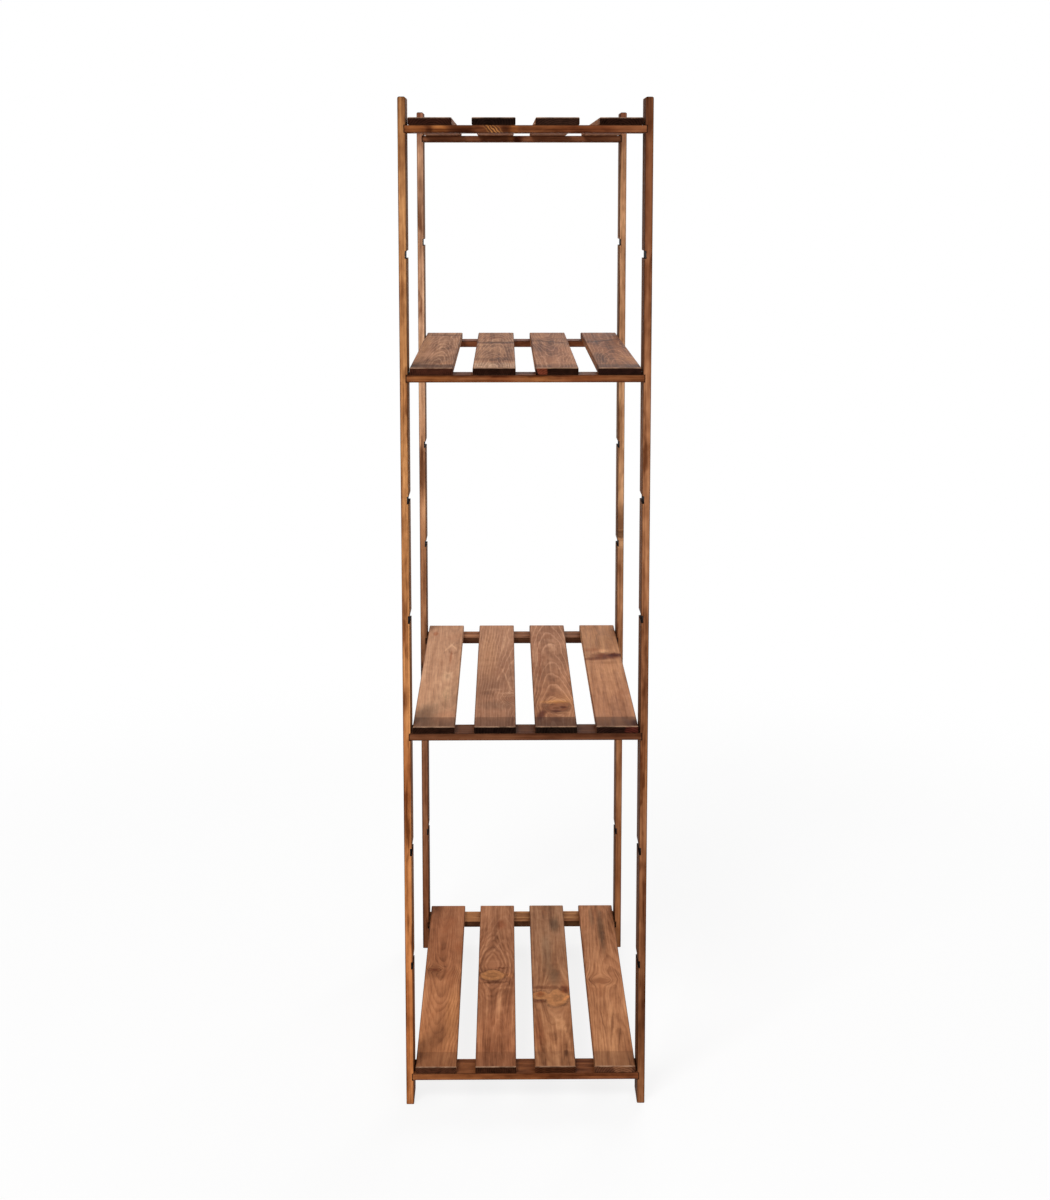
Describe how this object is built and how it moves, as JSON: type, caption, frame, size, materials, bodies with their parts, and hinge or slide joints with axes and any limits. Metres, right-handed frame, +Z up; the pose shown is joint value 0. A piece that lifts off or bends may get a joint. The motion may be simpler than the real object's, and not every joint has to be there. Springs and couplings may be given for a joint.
{
  "type": "plant ladder stand",
  "caption": "Tall open plant stand: slatted wooden shelves whose cross rails are housed in the evenly spaced notches of slim uprights.",
  "frame": {"origin": "on the floor, under the middle of the stand", "axes": "+Z up the uprights; +X to the right across the narrow end as pictured; +Y along the slats, away from the pictured end"},
  "size_m": [0.408, 0.7, 1.7],
  "materials": {
    "upright_wood": "brown-stained planed pine, satin",
    "rail_wood": "brown-stained planed pine, satin",
    "slat_wood": "brown-stained planed pine, satin",
    "screw_steel": "yellow zinc plated"
  },
  "bodies": {
    "root": {"front_left_upright": "upright_wood", "front_right_upright": "upright_wood", "rear_left_upright": "upright_wood", "rear_right_upright": "upright_wood", "bottom_shelf_front_rail": "rail_wood", "bottom_shelf_front_left_screw": "screw_steel", "bottom_shelf_front_right_screw": "screw_steel", "bottom_shelf_rear_rail": "rail_wood", "bottom_shelf_rear_left_screw": "screw_steel", "bottom_shelf_rear_right_screw": "screw_steel", "bottom_shelf_slat_1": "slat_wood", "bottom_shelf_slat_2": "slat_wood", "bottom_shelf_slat_3": "slat_wood", "bottom_shelf_slat_4": "slat_wood", "third_shelf_front_rail": "rail_wood", "third_shelf_front_left_screw": "screw_steel", "third_shelf_front_right_screw": "screw_steel", "third_shelf_rear_rail": "rail_wood", "third_shelf_rear_left_screw": "screw_steel", "third_shelf_rear_right_screw": "screw_steel", "third_shelf_slat_1": "slat_wood", "third_shelf_slat_2": "slat_wood", "third_shelf_slat_3": "slat_wood", "third_shelf_slat_4": "slat_wood", "second_shelf_front_rail": "rail_wood", "second_shelf_front_left_screw": "screw_steel", "second_shelf_front_right_screw": "screw_steel", "second_shelf_rear_rail": "rail_wood", "second_shelf_rear_left_screw": "screw_steel", "second_shelf_rear_right_screw": "screw_steel", "second_shelf_slat_1": "slat_wood", "second_shelf_slat_2": "slat_wood", "second_shelf_slat_3": "slat_wood", "second_shelf_slat_4": "slat_wood", "top_shelf_front_rail": "rail_wood", "top_shelf_front_left_screw": "screw_steel", "top_shelf_front_right_screw": "screw_steel", "top_shelf_rear_rail": "rail_wood", "top_shelf_rear_left_screw": "screw_steel", "top_shelf_rear_right_screw": "screw_steel", "top_shelf_slat_1": "slat_wood", "top_shelf_slat_2": "slat_wood", "top_shelf_slat_3": "slat_wood", "top_shelf_slat_4": "slat_wood"}
  },
  "joints": []
}
